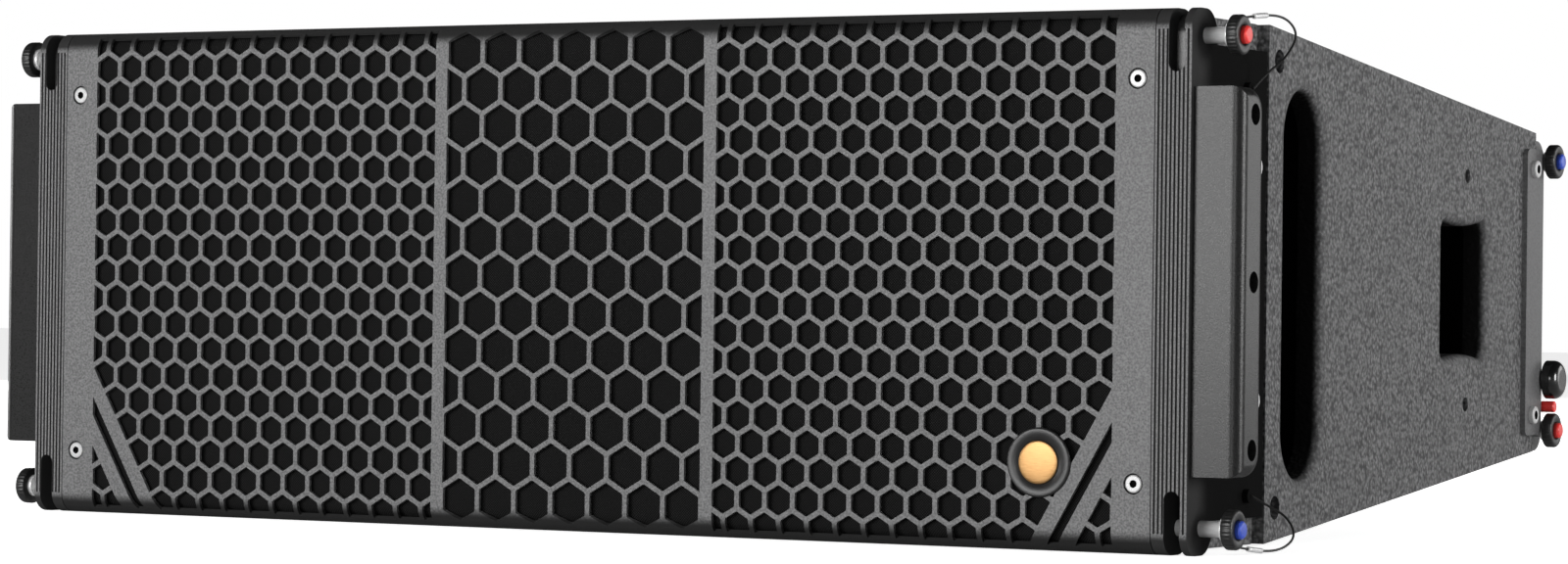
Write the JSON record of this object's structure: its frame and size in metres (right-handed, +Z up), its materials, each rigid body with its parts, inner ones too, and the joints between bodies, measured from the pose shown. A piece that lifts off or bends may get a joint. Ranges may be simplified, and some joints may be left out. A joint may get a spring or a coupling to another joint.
{
  "type": "line array loudspeaker",
  "caption": "Line array loudspeaker module with hexagonal steel grille, tapered cabinet, side bumpers, hand slots and pinned rigging frames.",
  "frame": {"origin": "bottom centre of the bounding box of the whole module, on the surface that it stands on", "axes": "+X to the module's right-hand end seen from the audience, +Y from the grille to the back, +Z up"},
  "size_m": [0.7432, 0.528, 0.262],
  "materials": {
    "painted_wood": "coarse textured black-grey cabinet paint",
    "bare_wood": "birch plywood, painted black outside",
    "grille_paint": "fine textured dark grey powder coat",
    "frame_paint": "satin dark grey powder coat",
    "bumper_plastic": "moulded black plastic",
    "cup_plastic": "moulded black plastic",
    "foam": "black open-cell acoustic foam",
    "steel": "bright plated steel",
    "dark_steel": "black plated steel",
    "stainless": "stainless steel",
    "red_plastic": "red plastic",
    "blue_plastic": "blue plastic",
    "knob_plastic": "black plastic",
    "bronze": "satin bronze on black",
    "cast_alloy": "cast aluminium, dark",
    "ferrite": "ferrite magnet with steel plates",
    "cone_paper": "coated paper cone",
    "board": "circuit board with parts",
    "wire_rope": "coated wire rope"
  },
  "bodies": {
    "cabinet": {"badge": "bronze", "baffle": "bare_wood", "bottom_panel": "painted_wood", "bumper_screws": "dark_steel", "compression_driver": "cast_alloy", "crossover_board": "board", "end_frame_left": "frame_paint", "end_frame_right": "frame_paint", "frame_screws": "dark_steel", "grille": "grille_paint", "grille_foam": "foam", "grille_screws": "stainless", "hand_hole_cup_left": "cup_plastic", "hand_hole_cup_right": "cup_plastic", "hand_slot_cup_left": "cup_plastic", "hand_slot_cup_right": "cup_plastic", "input_connectors": "knob_plastic", "input_plate": "frame_paint", "lower_lanyard": "wire_rope", "rear_frame_left": "frame_paint", "rear_frame_right": "frame_paint", "rear_panel": "painted_wood", "side_bumper_left": "bumper_plastic", "side_bumper_right": "bumper_plastic", "side_panel_left": "painted_wood", "side_panel_right": "painted_wood", "top_panel": "painted_wood", "upper_lanyard": "wire_rope", "waveguide": "cup_plastic", "woofer_basket_left": "cast_alloy", "woofer_basket_right": "cast_alloy", "woofer_magnet_left": "ferrite", "woofer_magnet_right": "ferrite", "woofer_screws": "dark_steel"},
    "woofer_cone_right": {"woofer_cone_right": "cone_paper"},
    "front_link_right": {"front_link_right": "dark_steel"},
    "front_upper_pin_right": {"front_upper_pin_right": "steel"},
    "front_upper_pin_button_right": {"front_upper_pin_button_right": "red_plastic"},
    "front_lower_pin_right": {"front_lower_pin_right": "steel"},
    "front_lower_pin_button_right": {"front_lower_pin_button_right": "blue_plastic"},
    "rear_link_right": {"rear_link_right": "dark_steel"},
    "rear_upper_pin_right": {"rear_upper_pin_right": "steel"},
    "rear_upper_pin_button_right": {"rear_upper_pin_button_right": "blue_plastic"},
    "rear_lower_pin_right": {"rear_lower_pin_right": "steel"},
    "rear_lower_pin_button_right": {"rear_lower_pin_button_right": "red_plastic"},
    "index_knob_right": {"index_knob_right": "knob_plastic"},
    "lock_button_right": {"lock_button_right": "red_plastic"},
    "woofer_cone_left": {"woofer_cone_left": "cone_paper"},
    "front_link_left": {"front_link_left": "dark_steel"},
    "front_upper_pin_left": {"front_upper_pin_left": "steel"},
    "front_upper_pin_button_left": {"front_upper_pin_button_left": "red_plastic"},
    "front_lower_pin_left": {"front_lower_pin_left": "steel"},
    "front_lower_pin_button_left": {"front_lower_pin_button_left": "blue_plastic"},
    "rear_link_left": {"rear_link_left": "dark_steel"},
    "rear_upper_pin_left": {"rear_upper_pin_left": "steel"},
    "rear_upper_pin_button_left": {"rear_upper_pin_button_left": "blue_plastic"},
    "rear_lower_pin_left": {"rear_lower_pin_left": "steel"},
    "rear_lower_pin_button_left": {"rear_lower_pin_button_left": "red_plastic"},
    "index_knob_left": {"index_knob_left": "knob_plastic"},
    "lock_button_left": {"lock_button_left": "red_plastic"}
  },
  "joints": [
    {"name": "woofer_right_excursion", "type": "slide", "parent": "cabinet", "child": "woofer_cone_right", "axis": [0, -1, 0], "range_m": [-0.004, 0.004], "stiffness_N_per_m": 2500},
    {"name": "front_link_right_raise", "type": "slide", "parent": "cabinet", "child": "front_link_right", "axis": [0, 0, 1], "range_m": [0, 0.026]},
    {"name": "front_upper_pin_right_pull", "type": "slide", "parent": "cabinet", "child": "front_upper_pin_right", "axis": [1, 0, 0], "range_m": [0, 0.022]},
    {"name": "front_upper_pin_button_right_press", "type": "slide", "parent": "front_upper_pin_right", "child": "front_upper_pin_button_right", "axis": [-1, 0, 0], "range_m": [0, 0.002], "stiffness_N_per_m": 1500},
    {"name": "front_lower_pin_right_pull", "type": "slide", "parent": "cabinet", "child": "front_lower_pin_right", "axis": [1, 0, 0], "range_m": [0, 0.022]},
    {"name": "front_lower_pin_button_right_press", "type": "slide", "parent": "front_lower_pin_right", "child": "front_lower_pin_button_right", "axis": [-1, 0, 0], "range_m": [0, 0.002], "stiffness_N_per_m": 1500},
    {"name": "rear_link_right_raise", "type": "slide", "parent": "cabinet", "child": "rear_link_right", "axis": [0, 0, 1], "range_m": [0, 0.026]},
    {"name": "rear_upper_pin_right_pull", "type": "slide", "parent": "cabinet", "child": "rear_upper_pin_right", "axis": [1, 0, 0], "range_m": [0, 0.02]},
    {"name": "rear_upper_pin_button_right_press", "type": "slide", "parent": "rear_upper_pin_right", "child": "rear_upper_pin_button_right", "axis": [-1, 0, 0], "range_m": [0, 0.002], "stiffness_N_per_m": 1500},
    {"name": "rear_lower_pin_right_pull", "type": "slide", "parent": "cabinet", "child": "rear_lower_pin_right", "axis": [1, 0, 0], "range_m": [0, 0.02]},
    {"name": "rear_lower_pin_button_right_press", "type": "slide", "parent": "rear_lower_pin_right", "child": "rear_lower_pin_button_right", "axis": [-1, 0, 0], "range_m": [0, 0.002], "stiffness_N_per_m": 1500},
    {"name": "index_knob_right_pull", "type": "slide", "parent": "cabinet", "child": "index_knob_right", "axis": [1, 0, 0], "range_m": [0, 0.008], "stiffness_N_per_m": 1200},
    {"name": "lock_button_right_press", "type": "slide", "parent": "cabinet", "child": "lock_button_right", "axis": [-1, 0, 0], "range_m": [0, 0.003], "stiffness_N_per_m": 1200},
    {"name": "woofer_left_excursion", "type": "slide", "parent": "cabinet", "child": "woofer_cone_left", "axis": [0, -1, 0], "range_m": [-0.004, 0.004], "stiffness_N_per_m": 2500},
    {"name": "front_link_left_raise", "type": "slide", "parent": "cabinet", "child": "front_link_left", "axis": [0, 0, 1], "range_m": [0, 0.026]},
    {"name": "front_upper_pin_left_pull", "type": "slide", "parent": "cabinet", "child": "front_upper_pin_left", "axis": [-1, 0, 0], "range_m": [0, 0.022]},
    {"name": "front_upper_pin_button_left_press", "type": "slide", "parent": "front_upper_pin_left", "child": "front_upper_pin_button_left", "axis": [1, 0, 0], "range_m": [0, 0.002], "stiffness_N_per_m": 1500},
    {"name": "front_lower_pin_left_pull", "type": "slide", "parent": "cabinet", "child": "front_lower_pin_left", "axis": [-1, 0, 0], "range_m": [0, 0.022]},
    {"name": "front_lower_pin_button_left_press", "type": "slide", "parent": "front_lower_pin_left", "child": "front_lower_pin_button_left", "axis": [1, 0, 0], "range_m": [0, 0.002], "stiffness_N_per_m": 1500},
    {"name": "rear_link_left_raise", "type": "slide", "parent": "cabinet", "child": "rear_link_left", "axis": [0, 0, 1], "range_m": [0, 0.026]},
    {"name": "rear_upper_pin_left_pull", "type": "slide", "parent": "cabinet", "child": "rear_upper_pin_left", "axis": [-1, 0, 0], "range_m": [0, 0.02]},
    {"name": "rear_upper_pin_button_left_press", "type": "slide", "parent": "rear_upper_pin_left", "child": "rear_upper_pin_button_left", "axis": [1, 0, 0], "range_m": [0, 0.002], "stiffness_N_per_m": 1500},
    {"name": "rear_lower_pin_left_pull", "type": "slide", "parent": "cabinet", "child": "rear_lower_pin_left", "axis": [-1, 0, 0], "range_m": [0, 0.02]},
    {"name": "rear_lower_pin_button_left_press", "type": "slide", "parent": "rear_lower_pin_left", "child": "rear_lower_pin_button_left", "axis": [1, 0, 0], "range_m": [0, 0.002], "stiffness_N_per_m": 1500},
    {"name": "index_knob_left_pull", "type": "slide", "parent": "cabinet", "child": "index_knob_left", "axis": [-1, 0, 0], "range_m": [0, 0.008], "stiffness_N_per_m": 1200},
    {"name": "lock_button_left_press", "type": "slide", "parent": "cabinet", "child": "lock_button_left", "axis": [1, 0, 0], "range_m": [0, 0.003], "stiffness_N_per_m": 1200}
  ]
}
